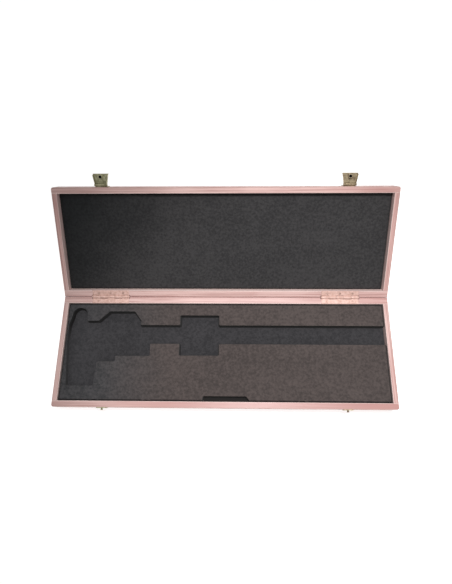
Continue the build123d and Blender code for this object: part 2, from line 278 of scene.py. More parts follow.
beech_pale = (0.68, 0.465, 0.43)
beech_deep = (0.40, 0.215, 0.195)
beech_red = (0.43, 0.205, 0.185)
beech_fleck = (0.27, 0.13, 0.105)
beech_end = (0.36, 0.205, 0.165)
# worn wood at the edges, and paler inner faces with a painted highlight along each rim's inner edge
beech_worn_and_highlight = (0.80, 0.64, 0.60)
# painted shade along the rims' outer sides
beech_outer_shade = (0.42, 0.27, 0.235)
# painted shade, with some grime, in the joint between lid and base
joint_shade_and_grime = (0.27, 0.10, 0.085)

# Wood patterns: sizes along, across and up the board, and the span of noise where each sets in
ring_width = 2.6
ring_late, ring_end = (0.35, 0.93), (0.93, 1.0)
bend_size = (230, 60, 60)
bend_across, bend_up = 14, 6
fibre_size = (11, 0.22, 0.22)
streak_size = (85, 1.9, 1.9)
cloud_size = (70, 22, 22)
red_size, red_span = (60, 1.5, 1.5), (0.56, 0.68)
fleck_size, fleck_span = (1.9, 0.24, 0.5), (0.66, 0.73)
pore_size = (0.3, 0.3, 0.3)
patchy_size, patchy_span = (16, 6, 6), (0.42, 0.7)
ply_foot, ply_head = (0.31, 0.35), (0.65, 0.69)
end_span = (0.55, 0.85)

# Reach of the painted shade and grime by the joint line, of the paler inner face's painted highlight, and
# of the painted shade on the outer side
joint_shade_reach = 1.4
inner_highlight_reach = 0.9
outer_shade_reach = 1.9


def beech_at(finish, board, seed, pith, tone):
    """Colour and relief of steamed beech at a point of a board: its rings, fibres and ray flecks."""
    _, across, up = board
    bend = finish.noise(board, bend_size, 1.0, seed) - 0.5
    ring_y = across - pith[0] + bend * bend_across
    ring_z = up - pith[1] + bend * bend_up
    radius = finish.math("SQRT", ring_y * ring_y + ring_z * ring_z)
    ring = finish.math("FRACT", radius / ring_width)
    late = ring.rise(*ring_late) * (1 - ring.rise(*ring_end))
    fibre = finish.noise(board, fibre_size, 3.0, seed)
    streak = finish.noise(board, streak_size, 2.0, seed + 1)
    cloud = finish.noise(board, cloud_size, 2.0, seed + 2)
    red = finish.noise(board, red_size, 1.0, seed + 6).rise(*red_span)
    fleck = finish.noise(board, fleck_size, 1.0, seed + 3).rise(*fleck_span)
    depth = late * 0.42 + (streak - 0.5) * 2.2 + (fibre - 0.5) * 0.55 + (cloud - 0.5) * 1.4 + 0.22 + tone
    colour = finish.mix(depth, beech_pale, beech_deep)
    colour = finish.mix(red * 0.35, colour, beech_red)
    colour = finish.mix(fleck * 0.4, colour, beech_fleck)
    relief = fibre * 0.5 + late * 0.25 - fleck * 0.5
    return colour, relief


def nearest_edge(finish, point, low, high):
    """Distance along the surface of a box to its nearest edge."""
    x, y, z = (
        finish.math("MINIMUM", value - floor, ceiling - value)
        for value, floor, ceiling in zip(point, low, high)
    )
    small = finish.math("MINIMUM", x, y)
    large = finish.math("MAXIMUM", x, y)
    return finish.math("MAXIMUM", small, finish.math("MINIMUM", large, z))


def pale_inside_and_shaded_rim(finish, point, facing, tray, low, high):
    """How far a place on a wall is paler by its inner face, with a painted highlight, and how far in
    painted shade by the rim's outer side.
    """
    panel = tray + ("_bottom_panel" if tray == "base" else "_top_panel")
    middle = sum(flat_box(panel, tray), Vector()) / 2
    axis = 0 if high.x - low.x < high.y - low.y else 1
    beyond = low[axis] + high[axis] > 2 * middle[axis]
    inner = low[axis] if beyond else high[axis]
    thick = high[axis] - low[axis]
    across = abs(point[axis] - inner)
    inward_face = (facing[axis] * (-1 if beyond else 1)).rise(0.5, 0.8)
    # paler inner face, and a painted highlight along the rim's inner edge
    brightening = finish.math("MAXIMUM", inward_face, 1 - across.rise(0.3 * inner_highlight_reach, inner_highlight_reach))
    # painted shade along the rim's outer side
    return brightening, across.rise(thick - outer_shade_reach, thick - 0.3 * outer_shade_reach)


def beech(name, node, tray, grain, seed, pith, tone, deeper, plies=False):
    """Varnished steamed beech, with its grain along X or Y of the tray, or three plies of it.

    Tone makes the whole board deeper in colour. Deeper gives a stretch along its grain that reddens,
    and how far.
    """
    finish = Finish(name)
    point = finish.place(tray)
    facing = finish.facing(tray)
    x, y, z = point
    low, high = flat_box(node, tray)
    board = (x, y, z) if grain == "X" else (y, x, z)
    end = abs(facing[0] if grain == "X" else facing[1]).rise(*end_span)
    colour, relief = beech_at(finish, board, seed, pith, tone)
    start, stop, share = deeper
    colour = finish.mix(board[0].rise(start, stop) * share, colour, beech_red)
    if plies:
        level = (z - low.z) / (high.z - low.z)
        core = level.rise(*ply_foot) * (1 - level.rise(*ply_head))
        core_colour, _ = beech_at(finish, (y, x, z), seed + 9, pith, tone)
        colour = finish.mix(core, colour, finish.mix(0.45, core_colour, beech_end))
        end = end * (1 - core) + abs(facing[1]).rise(*end_span) * core
    else:
        # paler inner face with a painted highlight along the rim's inner edge, and painted shade along
        # its outer side
        brightening, outer = pale_inside_and_shaded_rim(finish, point, facing, tray, low, high)
        colour = finish.mix(outer * 0.45, colour, beech_outer_shade)
        colour = finish.mix(brightening * 0.6, colour, beech_worn_and_highlight)
    pores = finish.noise(point, pore_size, 2.0, seed + 4)
    colour = finish.mix(end * (0.45 + pores * 0.5), colour, beech_end)
    edge = nearest_edge(finish, point, low, high)
    patchy = finish.noise(point, patchy_size, 2.0, seed + 5)
    worn = (1 - edge.rise(0.15, 0.9)) * patchy.rise(*patchy_span)
    colour = finish.mix(worn * 0.45, colour, beech_worn_and_highlight)
    # painted shade, with some grime, along the joint between lid and base
    line = abs(y - hinge_line.y / mm)
    joint_darkening = (1 - line.rise(0.6, joint_shade_reach)) * (0.6 + patchy * 0.6)
    colour = finish.mix(joint_darkening * 0.75, colour, joint_shade_and_grime)
    rough = 0.42 + end * 0.22 + worn * 0.12 + (patchy - 0.5) * 0.10
    return finish.surface({
        "Base Color": colour,
        "Roughness": rough,
        "Coat Weight": 0.2,
        "Coat Roughness": 0.3,
        "Normal": finish.relief(relief + pores * end * 0.8, 0.05),
    })


# Foam patterns: sizes of lumps, and where along and across the case the painted shade on the die-cut
# sides is deepest
grit_size = (0.7, 0.7, 0.7)
mottle_size = (3.4, 3.4, 3.4)
patch_size = (13, 13, 13)
drift_size = (80, 60, 60)
drift_reach = 60
pit_share = 0.45
# painted shade on the die-cut sides: deep, and lighter on the sides at the left that face the light
cut_side_shade = (0.006, 0.005, 0.005)
cut_side_lit_shade = (0.038, 0.036, 0.038)
cut_span = (-212, -150)
arch_span = (12, 34)
# painted shade in the finger notch
notch_shade = (0.014, 0.0125, 0.012)
notch_shade_span = (-57, -50)


def foam(name, tray, pale, deep, seed, painted_left_tone, painted_left_span, slant=0.0, cell=0.85, shaded_notch=False):
    """Closed-cell foam: fine cells, grit, mottling, painted shade on its die-cut sides, and another tone
    at its left end that paints light and shade.

    The painted change of tone lies across the span along the case, on a slant across it. The notch flag
    paints shade on the foam at the case's front, under the finger notch.
    """
    finish = Finish(name)
    point = finish.place(tray)
    cells = finish.cells(point, cell, seed)
    pits = finish.cells(point, cell * pit_share, seed + 1)
    grit = finish.noise(point, grit_size, 2.0, seed)
    mottle = finish.noise(point, mottle_size, 3.0, seed + 1, 0.7)
    patch = finish.noise(point, patch_size, 2.0, seed + 3)
    drift = finish.noise(point, drift_size, 2.0, seed + 2)
    shade = 0.5 + (grit - 0.5) * 1.4 + (mottle - 0.5) * 3.4 + (patch - 0.5) * 0.9 + (drift - 0.5) * 0.8
    shade = shade + (cells - 0.45) * 0.35
    colour = finish.mix(shade, deep, pale)
    # painted light and shade: another tone at the foam's left end, on a slanted, wavering line
    place = point[0] + point[1] * slant + (drift - 0.5) * drift_reach
    colour = finish.mix(place.rise(*painted_left_span), finish.mix(shade, *painted_left_tone), colour)
    # painted shade on the floor seen through the finger notch
    if shaded_notch:
        colour = finish.mix(point[1].rise(*notch_shade_span), notch_shade, colour)
    # painted shade on the die-cut sides, deepest along the case's walls and lighter on sides at the left
    # that face the light
    side = finish.node("ShaderNodeAttribute", {"attribute_name": "cut"}, out="Fac")
    edge = finish.node("ShaderNodeAttribute", {"attribute_name": "edge"}, out="Fac")
    dark = finish.math("MAXIMUM", point[0].rise(*cut_span), point[1].rise(*arch_span))
    dark = finish.math("MAXIMUM", dark, edge)
    colour = finish.mix(side, colour, finish.mix(dark, cut_side_lit_shade, cut_side_shade))
    return finish.surface({
        "Base Color": colour,
        "Roughness": 0.9 + (grit - 0.5) * 0.12,
        "Specular IOR Level": 0.2,
        "Sheen Weight": 0.08,
        "Sheen Roughness": 0.6,
        "Normal": finish.relief(1 - cells * 0.7 - pits * 0.4 + grit * 0.3, 0.12),
    })


# Plate patterns: sizes of blotches, specks and scratches, and the spans of noise where each sets in
blotch_size, blotch_span, worn_glint_span = (3.2, 3.2, 3.2), (0.3, 0.75), (0.30, 0.62)
speck_size, speck_span = (0.35, 0.35, 0.35), (0.62, 0.75)
scratch_size = (5.0, 0.10, 0.10)
# painted shade inside the snap cups
cup_shade_colour = (0.02, 0.017, 0.013)


def plated(name, bright, dull, worn_and_glint_colour, rough, seed, metal=1.0):
    """Plated sheet metal: blotchy plate, fine scratches, worn bright edges with a painted glint, and
    painted shade in a snap cup.

    Metal is less than 1 where the plate is dull.
    """
    finish = Finish(name)
    point = finish.place()
    blotch = finish.noise(point, blotch_size, 3.0, seed)
    speck = finish.noise(point, speck_size, 2.0, seed + 1)
    scratch = finish.noise(point, scratch_size, 2.0, seed + 2)
    # worn plating on the rounded edges, with a painted glint along them
    edges = finish.node("ShaderNodeAttribute", {"attribute_name": "worn"}, out="Fac")
    brightening = edges * blotch.rise(*worn_glint_span)
    colour = finish.mix(blotch.rise(*blotch_span), bright, dull)
    colour = finish.mix(speck.rise(*speck_span) * 0.5, colour, dull)
    colour = finish.mix(brightening, colour, worn_and_glint_colour)
    # painted shade inside a snap cup
    hollow = finish.node("ShaderNodeAttribute", {"attribute_name": "hollow"}, out="Fac")
    colour = finish.mix(hollow, colour, cup_shade_colour)
    return finish.surface({
        "Base Color": colour,
        "Metallic": metal,
        "Roughness": rough + (blotch - 0.5) * 0.3 + (scratch - 0.5) * 0.15 - brightening * 0.1 + hollow * 0.3,
        "Normal": finish.relief(scratch * 0.5 + speck * 0.5, 0.012),
    })


# Meshes

def box_of(points, axes=3):
    """Lowest and highest corner of the box round some points."""
    return [Vector([f(point[k] for point in points) for k in range(axes)]) for f in (min, max)]


def flat_box(node, tray):
    """Lowest and highest corner of a CAD node with its tray lying flat, in millimetres."""
    turn = tray_turn[tray].inverted()
    return box_of([turn @ vertex.co / mm for vertex in frame["nodes"][node].data.vertices])


def cad_copy(node):
    """A node's solid with its triangles merged and its flat faces joined."""
    mesh = bmesh.new()
    mesh.from_mesh(frame["nodes"][node].data)
    bmesh.ops.remove_doubles(mesh, verts=mesh.verts, dist=merge_distance)
    bmesh.ops.dissolve_limit(mesh, angle_limit=flat_angle, verts=mesh.verts, edges=mesh.edges)
    return mesh


def soften(mesh, width, segments=2):
    """Rounds a mesh's sharp edges, and marks the rounding, which plated finishes show as worn edges with
    a painted glint.
    """
    worn = mesh.loops.layers.float.new("worn")
    whole = (edge for edge in mesh.edges if edge.is_manifold)
    sharp = [edge for edge in whole if edge.calc_face_angle() > sharp_angle]
    rounded = bmesh.ops.bevel(
        mesh, geom=sharp, offset=width, offset_type="OFFSET", segments=segments, profile=0.5,
        affect="EDGES", clamp_overlap=True,
    )
    for face in rounded["faces"]:
        for loop in face.loops:
            loop[worn] = 1.0


def piece(name, mesh, finish, body, slot, *nodes, turn=None):
    """Makes an object from a bmesh or mesh, riding on a body and standing for CAD nodes."""
    if isinstance(mesh, bmesh.types.BMesh):
        data = bpy.data.meshes.new(name)
        mesh.to_mesh(data)
        mesh.free()
        mesh = data
    mesh.name = name
    if turn:
        mesh.transform(turn)
    mesh.materials.clear()
    mesh.materials.append(finish)
    mesh.shade_smooth()
    mesh.set_sharp_from_angle(angle=smooth_angle)
    made = bpy.data.objects.new(name, mesh)
    bpy.context.scene.collection.objects.link(made)
    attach(made, body)
    if nodes:
        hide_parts(*nodes)
    return made


def even_shading(made):
    """Keeps broad faces flat-looking beside their rounded edges."""
    weighted = made.modifiers.new("even shading", "WEIGHTED_NORMAL")
    weighted.keep_sharp = True


# Wood

walls = {
    # name: grain axis, seed, centre of the growth rings across and up, tone,
    #       stretch that reddens and how far
    "base_front_wall": ("X", 1.0, (-118.0, -30.0), 0.0, (-190.0, -60.0, 0.85)),
    "base_back_wall": ("X", 2.0, (20.0, -46.0), -0.08, (-110.0, 40.0, 0.4)),
    "base_left_wall": ("Y", 3.0, (-270.0, -34.0), -0.6, (60.0, -60.0, 0.0)),
    "base_right_wall": ("Y", 4.0, (165.0, -40.0), 0.0, (60.0, -60.0, 0.2)),
    # the lid's front and back boards have paler tones as painted light: the lamp from behind lights the
    # lid's rim less
    "lid_front_wall": ("X", 5.0, (265.0, -33.0), -0.1, (60.0, 200.0, 0.4)),
    "lid_back_wall": ("X", 6.0, (28.0, -52.0), -0.25, (90.0, 200.0, 0.2)),
    "lid_left_wall": ("Y", 7.0, (-268.0, -36.0), 0.05, (70.0, 200.0, 0.4)),
    "lid_right_wall": ("Y", 8.0, (160.0, -38.0), 0.0, (40.0, 100.0, 0.35)),
    "base_bottom_panel": ("X", 9.0, (0.0, -70.0), 0.0, (-200.0, 200.0, 0.2)),
    "lid_top_panel": ("X", 10.0, (150.0, -80.0), 0.0, (200.0, -200.0, 0.2)),
}
for node, (grain, seed, pith, tone, deeper) in walls.items():
    tray = node.split("_")[0]
    mesh = cad_copy(node)
    soften(mesh, wood_edge)
    plies = node.endswith("panel")
    finish = beech("beech " + node, node, tray, grain, seed, pith, tone, deeper, plies)
    name = node.replace("_wall", "_board").replace("_panel", "_sheet")
    even_shading(piece(name, mesh, finish, tray, "wood", node))


# Foam

def outlines_of(shell, top):
    """Closed outlines of a pad's upper face, the outer one first, with the foam on their left."""
    following = {}
    for face in shell.faces:
        if face.normal.z > 0.9 and abs(face.calc_center_median().z - top) < 10 * merge_distance:
            for loop in face.loops:
                following.setdefault(loop.vert, set()).add(loop.link_loop_next.vert)
    rim = {}
    for start, ends in following.items():
        for end in ends:
            if start not in following.get(end, ()):
                rim[start] = end
    outlines = []
    while rim:
        ordered = []
        vertex = min(rim, key=lambda vertex: (vertex.co.x, vertex.co.y))
        while vertex in rim:
            ordered.append(vertex.co.xy)
            vertex = rim.pop(vertex)
        outlines.append(ordered)
    return outlines


def resampled(outline):
    """The outline with its long stretches divided evenly."""
    points = []
    for start, end in zip(outline, outline[1:] + outline[:1]):
        parts = max(1, ceil((end - start).length / outline_step))
        points += [start.lerp(end, k / parts) for k in range(parts)]
    return points


def inward(points):
    """Unit step into the foam from each point of its outline, mitred at corners."""
    count = len(points)
    steps = []
    for k, point in enumerate(points):
        sides = []
        for start, end in ((points[k - 1], point), (point, points[(k + 1) % count])):
            run = (end - start).normalized()
            sides.append(Vector((-run.y, run.x)))
        both = sides[0] + sides[1]
        steps.append(both / (1 + max(sides[0].dot(sides[1]), -0.5)))
    return steps


def flare_at(point, shoulder):
    """How far the cut wall's foot stands out into the pocket, carrying the wall's painted shade onto the
    floor as a painted shadow.

    It doesn't at the case's walls, and the flare fades out round the lower jaws.
    """
    if shoulder == edge_round:
        return 0.0
    if point.x > faint_corner.x:
        return foot_flare
    return foot_flare * min(1.0, max(0.0, (point.y - faint_corner.y) / faint_fade))


def pad_section(top, foot, shoulder, flare):
    """Inset, height and painted shade down a pad's side: a rounded shoulder, then a wall.

    The wall is drawn in at its waist. In the pocket it flares at its foot, and the flare in the wall's
    painted shade paints the shadow there.
    """
    section = []
    at_wall = shoulder == edge_round
    for k in range(shoulder_steps + 1):
        turn = pi / 2 * k / shoulder_steps
        share = k / shoulder_steps
        # painted shade on the side: at once on shoulders along the case's walls, from partway down on
        # pocket shoulders
        tone = share ** edge_cut_power if at_wall else max(0.0, (share - cut_start) / (1 - cut_start))
        section.append((shoulder * (1 - sin(turn)), top - shoulder * (1 - cos(turn)), tone))
    for k in range(1, wall_steps + 1):
        share = k / wall_steps
        inset = wall_waist * sin(pi * share) - flare * share ** 2
        section.append((inset, (top - shoulder) * (1 - share) + foot * share, 1.0))
    return section


def shoulder_at(point, low, high):
    """Size of the shoulder at a point of an outline: larger where the foam lies along a wall."""
    gap = min(point.x - low.x, high.x - point.x, point.y - low.y, high.y - point.y)
    return edge_round if gap < wall_reach else pocket_round


def swell(x, y, seed):
    """How far a pad's upper face stands above or below flat at a place."""
    broad = noise.noise(Vector((x / swell_size, y / swell_size, seed)))
    small = noise.noise(Vector((x / dimple_size, y / dimple_size, seed + 5)))
    return swell_height * broad + dimple_height * small - 0.5 * swell_height


def filled(outlines, spacing):
    """Flat points and triangles that fill the first outline evenly, apart from the others inside it."""
    points = [point for outline in outlines for point in outline]
    tree = kdtree.KDTree(len(points))
    for k, point in enumerate(points):
        tree.insert(point.to_3d(), k)
    tree.balance()
    low, high = box_of(points, 2)
    row = 0
    y = low.y + spacing
    while y < high.y:
        x = low.x + spacing * (0.5 if row % 2 else 1.0)
        while x < high.x:
            if tree.find((x, y, 0))[2] > rim_clearance * spacing:
                points.append(Vector((x, y)))
            x += spacing
        y += spacing * sqrt(0.75)
        row += 1
    regions = []
    first = 0
    for outline in outlines:
        region = list(range(first, first + len(outline)))
        regions.append(region[::-1] if regions else region)
        first += len(outline)
    _, _, faces, origins, _, sources = geometry.delaunay_2d_cdt(points, [], regions, 0, merge_distance)
    inside = [face for face, source in zip(faces, sources) if source == [0]]
    return points, [[origins[k][0] for k in face] for face in inside]


def foam_pad(name, node, tray, finish, seed):
    """Foam sheet that stands for its CAD node, with shoulders, drawn-in walls and an uneven face."""
    shell = cad_copy(node)
    bmesh.ops.transform(shell, matrix=tray_turn[tray].inverted(), verts=shell.verts)
    shell.normal_update()
    heights = [vertex.co.z for vertex in shell.verts]
    top, foot = max(heights), min(heights)
    outlines = [resampled(outline) for outline in outlines_of(shell, top)]
    low, high = box_of([vertex.co for vertex in shell.verts], 2)
    shell.free()

    mesh = bmesh.new()
    # painted shade on the die-cut sides, and which foam lies along the case's walls
    cut = mesh.verts.layers.float.new("cut")
    edge = mesh.verts.layers.float.new("edge")
    upper_rim, lower_rim = [], []
    for outline in outlines:
        lines = []
        for point, step in zip(outline, inward(outline)):
            line = []
            shoulder = shoulder_at(point, low, high)
            for inset, height, tone in pad_section(top, foot, shoulder, flare_at(point, shoulder)):
                place = point + step * inset
                lift = (height - foot) / (top - foot)
                made = mesh.verts.new((place.x, place.y, height + lift * swell(place.x, place.y, seed)))
                made[cut] = tone
                made[edge] = float(shoulder == edge_round)
                line.append(made)
            lines.append(line)
        rings = list(zip(*lines))
        for upper, lower in zip(rings, rings[1:]):
            for k in range(len(outline)):
                after = (k + 1) % len(outline)
                mesh.faces.new((upper[k], lower[k], lower[after], upper[after]))
        upper_rim.append(rings[0])
        lower_rim.append(rings[-1])
    for rim, height, spacing in ((upper_rim, top, surface_step), (lower_rim, foot, foot_step)):
        points, faces = filled([[vertex.co.xy for vertex in ring] for ring in rim], spacing)
        made = dict(enumerate(vertex for ring in rim for vertex in ring))
        for face in faces:
            for k in face:
                if k not in made:
                    x, y = points[k]
                    lift = swell(x, y, seed) if height == top else 0.0
                    made[k] = mesh.verts.new((x, y, height + lift))
            corners = [made[k] for k in face]
            mesh.faces.new(corners if height == top else corners[::-1])
    bmesh.ops.recalc_face_normals(mesh, faces=mesh.faces)
    made = piece(name, mesh, finish, tray, "foam", node, turn=tray_turn[tray])


def ribbed_sheet(name, node, tray, finish):
    """Thin foam floor with fine ribs along it, seen through the pocket."""
    low, high = (corner * mm for corner in flat_box(node, tray))
    rows = round((high.y - low.y) / (rib_pitch / rows_per_rib))
    mesh = bmesh.new()
    grid = []
    for j in range(rows + 1):
        y = low.y + (high.y - low.y) * j / rows
        line = []
        for i in range(floor_columns + 1):
            x = low.x + (high.x - low.x) * i / floor_columns
            rib = 0.5 * rib_height * (cos(2 * pi * y / rib_pitch) - 1)
            line.append(mesh.verts.new((x, y, high.z + rib)))
        grid.append(line)
    for lower, upper in zip(grid, grid[1:]):
        for i in range(floor_columns):
            mesh.faces.new((lower[i], lower[i + 1], upper[i + 1], upper[i]))
    right_side, left_side = [line[-1] for line in grid[:-1]], [line[0] for line in grid[:0:-1]]
    rim = grid[0][:-1] + right_side + grid[-1][:0:-1] + left_side
    foot = [mesh.verts.new((vertex.co.x, vertex.co.y, low.z)) for vertex in rim]
    for k in range(len(rim)):
        after = (k + 1) % len(rim)
        mesh.faces.new((rim[k], foot[k], foot[after], rim[after]))
    mesh.faces.new(foot[::-1])
    bmesh.ops.recalc_face_normals(mesh, faces=mesh.faces)
    made = piece(name, mesh, finish, tray, "foam", node, turn=tray_turn[tray])


# the tone pair and span after each foam's seed paint light and shade at its left end
charcoal = foam(
    "charcoal foam", "base", (0.082, 0.065, 0.061), (0.046, 0.037, 0.035), 1.0,
    ((0.034, 0.034, 0.036), (0.066, 0.063, 0.066)), (-185, -60),
)
floor_foam = foam(
    "slate foam", "base", (0.040, 0.038, 0.041), (0.022, 0.021, 0.023), 2.0,
    ((0.034, 0.033, 0.036), (0.056, 0.054, 0.058)), (-205, -130), shaded_notch=True,
)
lid_black = foam(
    "black lid foam", "lid", (0.040, 0.038, 0.039), (0.0205, 0.0195, 0.0205), 3.0,
    ((0.005, 0.006, 0.007), (0.011, 0.013, 0.014)), (-352, -147), -0.6,
)
foam_pad("die_cut_pad", "base_foam_top", "base", charcoal, 1.0)
ribbed_sheet("pocket_floor", "base_foam_floor", "base", floor_foam)
foam_pad("lid_lining", "lid_foam", "lid", lid_black, 2.0)


# Screws

class Grower(Graph):
    """A Geometry Nodes tree with named inputs, under construction."""

    def __init__(self, name, inputs):
        group = bpy.data.node_groups.new(name, "GeometryNodeTree")
        super().__init__(group)
        self.sockets = {}
        for label, kind in {"Geometry": "Geometry", **inputs}.items():
            made = group.interface.new_socket(label, in_out="INPUT", socket_type="NodeSocket" + kind)
            self.sockets[label] = made.identifier
        group.interface.new_socket("Geometry", in_out="OUTPUT", socket_type="NodeSocketGeometry")
        self.entry = group.nodes.new("NodeGroupInput")

    def given(self, label):
        return Signal(self, self.entry.outputs[label])

    def end(self, geometry, material):
        """Ends the tree in real geometry of one finish."""
        real = self.node("GeometryNodeRealizeInstances", {}, {"Geometry": geometry})
        done = self.node("GeometryNodeSetMaterial", {}, {"Geometry": real, "Material": material})
        self.node("NodeGroupOutput", {}, {"Geometry": done})

    def grow(self, host, values):
        """The mesh that the tree makes from a host mesh with these input values."""
        made = bpy.data.objects.new("host", host)
        bpy.context.scene.collection.objects.link(made)
        modifier = made.modifiers.new("grow", "NODES")
        modifier.node_group = self.tree
        for label, value in values.items():
            modifier[self.sockets[label]] = value
        bpy.context.view_layer.update()
        grown = bpy.data.meshes.new_from_object(made.evaluated_get(bpy.context.evaluated_depsgraph_get()))
        bpy.data.objects.remove(made)
        return grown


def screw_grower():
    """Countersunk slotted screws on the host's points.

    Each faces its point's way, with its slot at any turn.
    """
    grower = Grower("countersunk screws", {
        "Head radius": "Float", "Head height": "Float", "Shank radius": "Float", "Length": "Float",
        "Tip": "Float", "Seed": "Int", "Material": "Material",
    })
    head, height, shank, length, tip = (
        grower.given(label) for label in ("Head radius", "Head height", "Shank radius", "Length", "Tip")
    )
    radii = (head - screw_chamfer, head, shank, shank, shank * screw_point)
    levels = (0.0, -screw_chamfer, 0 - height, tip - length, 0 - length)
    rows = len(radii)
    sizes = {"Vertices": screw_sides, "Side Segments": rows - 1, "Radius": 1.0, "Depth": rows - 1.0}
    blank = grower.node("GeometryNodeMeshCylinder", {"fill_type": "NGON"}, sizes)
    x, y, z = grower.axes(grower.node("GeometryNodeInputPosition"))
    row = grower.math("ROUND", (rows - 1) / 2 - z)
    choice = {"data_type": "FLOAT", "items": rows}
    radius = grower.node("GeometryNodeIndexSwitch", choice, {"Index": row, **dict(enumerate(radii, 1))})
    level = grower.node("GeometryNodeIndexSwitch", choice, {"Index": row, **dict(enumerate(levels, 1))})
    shaped = grower.node("GeometryNodeSetPosition", {}, {
        "Geometry": blank, "Position": grower.vector(x * radius, y * radius, level),
    })
    slot_size = grower.vector(head * slot_reach, slot_width, 2 * slot_depth)
    cutter = grower.node("GeometryNodeMeshCube", {}, {"Size": slot_size})
    slotted = grower.node("GeometryNodeMeshBoolean", {"operation": "DIFFERENCE"}, {0: shaped, 1: cutter})
    spin = grower.node("FunctionNodeRandomValue", {"data_type": "FLOAT"}, {
        2: 0.0, 3: pi, "Seed": grower.given("Seed"),
    }, out=1)
    turned = grower.node("FunctionNodeEulerToRotation", {}, {"Euler": grower.vector(0.0, 0.0, spin)})
    facing = grower.node("GeometryNodeInputNamedAttribute", {"data_type": "FLOAT_VECTOR"}, {
        "Name": "facing",
    })
    aimed = grower.node("FunctionNodeAlignRotationToVector", {"axis": "Z"}, {
        "Rotation": turned, "Vector": facing,
    })
    placed = grower.node("GeometryNodeInstanceOnPoints", {}, {
        "Points": grower.given("Geometry"), "Instance": slotted, "Rotation": aimed,
    })
    grower.end(placed, grower.given("Material"))
    return grower


def islands(node):
    """Points of each separate solid of a CAD node, in the order of the mesh."""
    mesh = cad_copy(node)
    left = set(mesh.verts)
    groups = []
    for start in mesh.verts:
        if start not in left:
            continue
        left.remove(start)
        front = [start]
        group = []
        while front:
            vertex = front.pop()
            group.append(vertex.co.copy())
            near = {edge.other_vert(vertex) for edge in vertex.link_edges} & left
            left -= near
            front += near
        groups.append(group)
    mesh.free()
    return groups


def screws(name, node, body, facing, finish, grower):
    """The screws of one CAD node, with their sizes read off its solids."""
    facing = facing.normalized()
    places = []
    for solid in islands(node):
        depths = [point.dot(facing) for point in solid]
        face, end = max(depths), min(depths)
        centre = sum(box_of(solid), Vector()) / 2
        centre += facing * (face - centre.dot(facing))
        reach = [(point - centre) for point in solid]
        radii = [(step - facing * step.dot(facing)).length for step in reach]
        depth_at = sorted({round(face - depth, 5) for depth in depths})
        places.append(centre)
    head = max(radii)
    shank = min(radius for radius in radii if radius > least_shank * head)
    levels = [depth for depth in depth_at if depth > 2 * slot_depth]
    host = bpy.data.meshes.new(name + "_places")
    host.from_pydata(places, [], [])
    aim = host.attributes.new("facing", "FLOAT_VECTOR", "POINT")
    for item in aim.data:
        item.vector = facing
    grown = grower.grow(host, {
        "Head radius": head, "Head height": levels[0], "Shank radius": shank, "Length": face - end,
        "Tip": face - end - levels[1], "Seed": screw_seed + len(name), "Material": finish,
    })
    piece(name, grown, finish, body, "screw_steel", node)


screw_plate = plated(
    "yellow plated screw", (0.66, 0.44, 0.38), (0.44, 0.28, 0.23), (0.74, 0.56, 0.49), 0.55, 31.0, 0.45,
)
zinc = {
    "left": plated(
        "green-grey zinc plate", (0.54, 0.52, 0.34), (0.25, 0.235, 0.14), (0.70, 0.70, 0.55), 0.52, 41.0,
    ),
    "right": plated(
        "tan zinc plate", (0.46, 0.38, 0.25), (0.20, 0.15, 0.10), (0.62, 0.53, 0.41), 0.52, 43.0,
    ),
}
up = Vector((0, 0, 1))
front = Vector((0, -1, 0))
turned_up = tray_turn["lid"].to_3x3() @ up
turned_front = opening_turn.to_3x3() @ front
grower = screw_grower()
for side in ("left", "right"):
    for node, body, facing in (
        (side + "_hinge_base_screws", "base", up),
        (side + "_hinge_lid_screws", "lid", turned_up),
        (side + "_latch_plate_screws", "lid", turned_front),
        (side + "_latch_keeper_screws", "base", front),
    ):
        plate = zinc[side] if "latch" in node else screw_plate
        screws(node.replace("_screws", "_screw_set"), node, body, facing, plate, grower)


# Hinges

def knuckle_grower():
    """Rolled knuckles on the host's points: a strip that leaves the leaf and curls round the pin."""
    grower = Grower("rolled knuckles", {
        "Roll radius": "Float", "Leaf drop": "Float", "Leaf reach": "Float", "Start angle": "Float",
        "End angle": "Float", "Width": "Float", "Material": "Material",
    })
    radius, drop, reach, start, stop, width = (
        grower.given(label)
        for label in ("Roll radius", "Leaf drop", "Leaf reach", "Start angle", "End angle", "Width")
    )
    line = grower.node("GeometryNodeMeshLine", {}, {"Count": curl_points})
    index = grower.node("GeometryNodeInputIndex")
    step = grower.math("MAXIMUM", index - 1, 0.0) / (curl_points - 2.0)
    angle = start + (stop - start) * step
    first = grower.math("LESS_THAN", index, 0.5)
    y = first * (0 - reach) + (1 - first) * radius * grower.math("COSINE", angle)
    z = first * (0 - drop) + (1 - first) * radius * grower.math("SINE", angle)
    bent = grower.node("GeometryNodeSetPosition", {}, {
        "Geometry": line, "Position": grower.vector(width * -0.5, y, z),
    })
    strip = grower.node("GeometryNodeExtrudeMesh", {"mode": "EDGES"}, {
        "Mesh": bent, "Offset": grower.vector(1.0, 0.0, 0.0), "Offset Scale": width,
    })
    placed = grower.node("GeometryNodeInstanceOnPoints", {}, {
        "Points": grower.given("Geometry"), "Instance": strip,
    })
    grower.end(placed, grower.given("Material"))
    return grower


